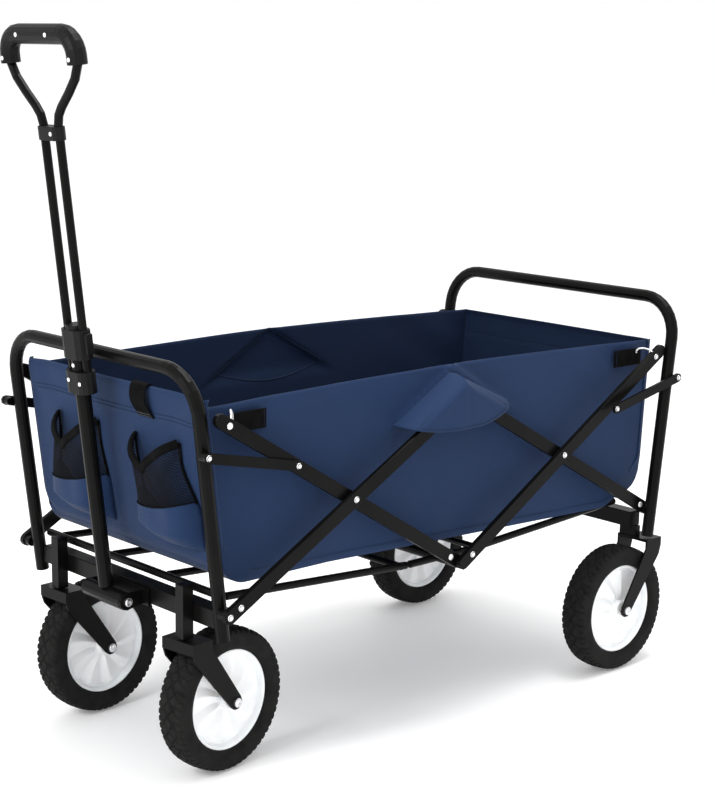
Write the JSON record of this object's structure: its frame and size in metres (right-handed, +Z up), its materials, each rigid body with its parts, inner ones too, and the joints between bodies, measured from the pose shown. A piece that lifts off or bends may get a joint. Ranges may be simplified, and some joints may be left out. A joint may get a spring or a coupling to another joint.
{
  "type": "folding camp wagon",
  "caption": "Folding camp wagon with a scissor-braced steel frame, open fabric basket, swivelling front wheels, cup pockets and a telescoping loop handle.",
  "frame": {"origin": "on the ground, under the middle of the overall length and width", "axes": "+X forward towards the handle, +Y to the wagon's left, +Z up"},
  "size_m": [1.0274, 0.525, 0.9977],
  "materials": {
    "black_steel": "satin black powder coat",
    "black_plastic": "moulded, fine texture",
    "bright_steel": "zinc plated",
    "hub_plastic": "white moulded, semi gloss",
    "tyre_rubber": "matt, moulded tread",
    "navy_fabric": "coated polyester weave",
    "pocket_mesh": "open mesh with a fabric foot"
  },
  "bodies": {
    "centre": {"centre_cross_tube": "black_steel", "basket_floor": "navy_fabric", "basket_side_panel_left": "navy_fabric", "basket_side_panel_right": "navy_fabric"},
    "front_chassis": {"front_hoop": "black_steel", "front_crossbeam": "black_steel", "front_floor_tube": "black_steel", "caster_post_left": "black_steel", "caster_post_right": "black_steel", "handle_bracket": "black_steel", "handle_pivot_bolt": "bright_steel", "basket_front_panel": "navy_fabric", "cup_pocket_left": "pocket_mesh", "cup_pocket_right": "pocket_mesh"},
    "rear_chassis": {"rear_hoop": "black_steel", "rear_crossbeam": "black_steel", "rear_floor_tube": "black_steel", "rear_fork_left": "black_steel", "rear_fork_right": "black_steel", "axle_bolt_rear_left": "bright_steel", "axle_bolt_rear_right": "bright_steel", "basket_rear_panel": "navy_fabric"},
    "front_inner_bar_left": {"front_inner_bar_left": "black_steel"},
    "front_outer_bar_left": {"front_outer_bar_left": "black_steel"},
    "rear_outer_bar_left": {"rear_outer_bar_left": "black_steel"},
    "rear_inner_bar_left": {"rear_inner_bar_left": "black_steel"},
    "top_bracket_left": {"top_bracket_left": "black_steel", "pivot_flap_left": "navy_fabric"},
    "front_inner_bar_right": {"front_inner_bar_right": "black_steel"},
    "front_outer_bar_right": {"front_outer_bar_right": "black_steel"},
    "rear_outer_bar_right": {"rear_outer_bar_right": "black_steel"},
    "rear_inner_bar_right": {"rear_inner_bar_right": "black_steel"},
    "top_bracket_right": {"top_bracket_right": "black_steel", "pivot_flap_right": "navy_fabric"},
    "front_strut_left": {"front_strut_left": "black_steel"},
    "front_strut_right": {"front_strut_right": "black_steel"},
    "front_floor_frame": {"front_floor_frame": "black_steel"},
    "rear_strut_left": {"rear_strut_left": "black_steel"},
    "rear_strut_right": {"rear_strut_right": "black_steel"},
    "rear_floor_frame": {"rear_floor_frame": "black_steel"},
    "caster_left": {"caster_fork_left": "black_steel", "axle_bolt_front_left": "bright_steel"},
    "front_wheel_left": {"tyre_front_left": "tyre_rubber", "hub_front_left": "hub_plastic"},
    "rear_wheel_left": {"tyre_rear_left": "tyre_rubber", "hub_rear_left": "hub_plastic"},
    "caster_right": {"caster_fork_right": "black_steel", "axle_bolt_front_right": "bright_steel"},
    "front_wheel_right": {"tyre_front_right": "tyre_rubber", "hub_front_right": "hub_plastic"},
    "rear_wheel_right": {"tyre_rear_right": "tyre_rubber", "hub_rear_right": "hub_plastic"},
    "handle_lower": {"handle_pivot_tube": "black_steel", "handle_lower_tube": "black_steel", "handle_lock_block": "black_plastic"},
    "handle_upper": {"handle_loop": "black_steel", "handle_collar": "black_plastic", "handle_clamp": "black_plastic", "handle_grip": "black_plastic"},
    "lock_lever": {"handle_lock_lever": "black_plastic"}
  },
  "joints": [
    {"name": "fold", "type": "hinge", "parent": "centre", "child": "front_inner_bar_left", "pos_m": [-0.04002, 0.23, 0.244], "axis": [0, -1, 0], "range_deg": [0, 44], "deforming": ["basket_floor", "basket_side_panel_left", "basket_side_panel_right"]},
    {"name": "front_cross_pivot_left", "type": "hinge", "parent": "front_inner_bar_left", "child": "front_outer_bar_left", "pos_m": [0.17189, 0.23, 0.37348], "axis": [0, 1, 0], "range_deg": [0, 88.5]},
    {"name": "fold_rear_left", "type": "hinge", "parent": "centre", "child": "rear_outer_bar_left", "pos_m": [-0.04002, 0.23, 0.244], "axis": [0, 1, 0], "range_deg": [0, 44.5]},
    {"name": "rear_cross_pivot_left", "type": "hinge", "parent": "rear_outer_bar_left", "child": "rear_inner_bar_left", "pos_m": [-0.25192, 0.23, 0.37348], "axis": [0, -1, 0], "range_deg": [0, 88.5]},
    {"name": "top_pivot_left", "type": "hinge", "parent": "front_outer_bar_left", "child": "top_bracket_left", "pos_m": [-0.04002, 0.23, 0.49233], "axis": [0, -1, 0], "range_deg": [0, 44.5]},
    {"name": "fold_front_right", "type": "hinge", "parent": "centre", "child": "front_inner_bar_right", "pos_m": [-0.04002, -0.23, 0.244], "axis": [0, -1, 0], "range_deg": [0, 44.5]},
    {"name": "front_cross_pivot_right", "type": "hinge", "parent": "front_inner_bar_right", "child": "front_outer_bar_right", "pos_m": [0.17189, -0.23, 0.37348], "axis": [0, 1, 0], "range_deg": [0, 88.5]},
    {"name": "fold_rear_right", "type": "hinge", "parent": "centre", "child": "rear_outer_bar_right", "pos_m": [-0.04002, -0.23, 0.244], "axis": [0, 1, 0], "range_deg": [0, 44.5]},
    {"name": "rear_cross_pivot_right", "type": "hinge", "parent": "rear_outer_bar_right", "child": "rear_inner_bar_right", "pos_m": [-0.25192, -0.23, 0.37348], "axis": [0, -1, 0], "range_deg": [0, 88.5]},
    {"name": "top_pivot_right", "type": "hinge", "parent": "front_outer_bar_right", "child": "top_bracket_right", "pos_m": [-0.04002, -0.23, 0.49233], "axis": [0, -1, 0], "range_deg": [0, 44.5]},
    {"name": "front_foot_pivot", "type": "hinge", "parent": "front_outer_bar_left", "child": "front_chassis", "pos_m": [0.38848, 0.23, 0.252], "axis": [0, -1, 0], "range_deg": [0, 44.5]},
    {"name": "rear_foot_pivot", "type": "hinge", "parent": "rear_inner_bar_left", "child": "rear_chassis", "pos_m": [-0.46852, 0.23, 0.252], "axis": [0, 1, 0], "range_deg": [0, 44.5]},
    {"name": "front_strut_pivot_left", "type": "hinge", "parent": "front_chassis", "child": "front_strut_left", "pos_m": [0.41948, 0.238, 0.466], "axis": [0, 1, 0], "range_deg": [0, 74.4]},
    {"name": "front_strut_pivot_right", "type": "hinge", "parent": "front_chassis", "child": "front_strut_right", "pos_m": [0.41948, -0.238, 0.466], "axis": [0, 1, 0], "range_deg": [0, 74.4]},
    {"name": "front_floor_hinge", "type": "hinge", "parent": "front_chassis", "child": "front_floor_frame", "pos_m": [0.35498, 0, 0.262], "axis": [0, 1, 0], "range_deg": [0, 86.3]},
    {"name": "rear_strut_pivot_left", "type": "hinge", "parent": "rear_chassis", "child": "rear_strut_left", "pos_m": [-0.49952, 0.238, 0.466], "axis": [0, -1, 0], "range_deg": [0, 74.4]},
    {"name": "rear_strut_pivot_right", "type": "hinge", "parent": "rear_chassis", "child": "rear_strut_right", "pos_m": [-0.49952, -0.238, 0.466], "axis": [0, -1, 0], "range_deg": [0, 74.4]},
    {"name": "rear_floor_hinge", "type": "hinge", "parent": "rear_chassis", "child": "rear_floor_frame", "pos_m": [-0.43502, 0, 0.262], "axis": [0, -1, 0], "range_deg": [0, 86.3]},
    {"name": "caster_swivel_left", "type": "hinge", "parent": "front_chassis", "child": "caster_left", "pos_m": [0.39098, 0.149, 0.2], "axis": [0, 0, 1], "continuous": true},
    {"name": "front_wheel_spin_left", "type": "hinge", "parent": "caster_left", "child": "front_wheel_left", "pos_m": [0.32349, 0.14071, 0.1], "axis": [-0.1219, 0.9925, 0], "continuous": true},
    {"name": "rear_wheel_spin_left", "type": "hinge", "parent": "rear_chassis", "child": "rear_wheel_left", "pos_m": [-0.40302, 0.224, 0.1], "axis": [0, 1, 0], "continuous": true},
    {"name": "caster_swivel_right", "type": "hinge", "parent": "front_chassis", "child": "caster_right", "pos_m": [0.39098, -0.149, 0.2], "axis": [0, 0, 1], "continuous": true},
    {"name": "front_wheel_spin_right", "type": "hinge", "parent": "caster_right", "child": "front_wheel_right", "pos_m": [0.32315, -0.15374, 0.1], "axis": [-0.0698, 0.9976, 0], "continuous": true},
    {"name": "rear_wheel_spin_right", "type": "hinge", "parent": "rear_chassis", "child": "rear_wheel_right", "pos_m": [-0.40302, -0.224, 0.1], "axis": [0, 1, 0], "continuous": true},
    {"name": "handle_tilt", "type": "hinge", "parent": "front_chassis", "child": "handle_lower", "pos_m": [0.41098, 0, 0.23], "axis": [0, 1, 0], "range_deg": [0, 75]},
    {"name": "handle_slide", "type": "slide", "parent": "handle_lower", "child": "handle_upper", "axis": [0.1184, 0, 0.993], "range_m": [-0.24, 0]},
    {"name": "lock_lever_press", "type": "hinge", "parent": "handle_lower", "child": "lock_lever", "pos_m": [0.45515, 0.0283, 0.60038], "axis": [0.993, 0, -0.1184], "range_deg": [0, 20]}
  ],
  "couplings": [
    {"joint": "front_cross_pivot_left", "follows": "fold", "ratio": 2},
    {"joint": "fold_rear_left", "follows": "fold", "ratio": 1},
    {"joint": "rear_cross_pivot_left", "follows": "fold", "ratio": 2},
    {"joint": "top_pivot_left", "follows": "fold", "ratio": 1},
    {"joint": "fold_front_right", "follows": "fold", "ratio": 1},
    {"joint": "front_cross_pivot_right", "follows": "fold", "ratio": 2},
    {"joint": "fold_rear_right", "follows": "fold", "ratio": 1},
    {"joint": "rear_cross_pivot_right", "follows": "fold", "ratio": 2},
    {"joint": "top_pivot_right", "follows": "fold", "ratio": 1},
    {"joint": "front_foot_pivot", "follows": "fold", "ratio": 1},
    {"joint": "rear_foot_pivot", "follows": "fold", "ratio": 1},
    {"joint": "front_strut_pivot_left", "follows": "fold", "ratio": 1.6796},
    {"joint": "front_strut_pivot_right", "follows": "fold", "ratio": 1.6796},
    {"joint": "front_floor_hinge", "follows": "fold", "ratio": 1.95},
    {"joint": "rear_strut_pivot_left", "follows": "fold", "ratio": 1.6796},
    {"joint": "rear_strut_pivot_right", "follows": "fold", "ratio": 1.6796},
    {"joint": "rear_floor_hinge", "follows": "fold", "ratio": 1.95}
  ]
}
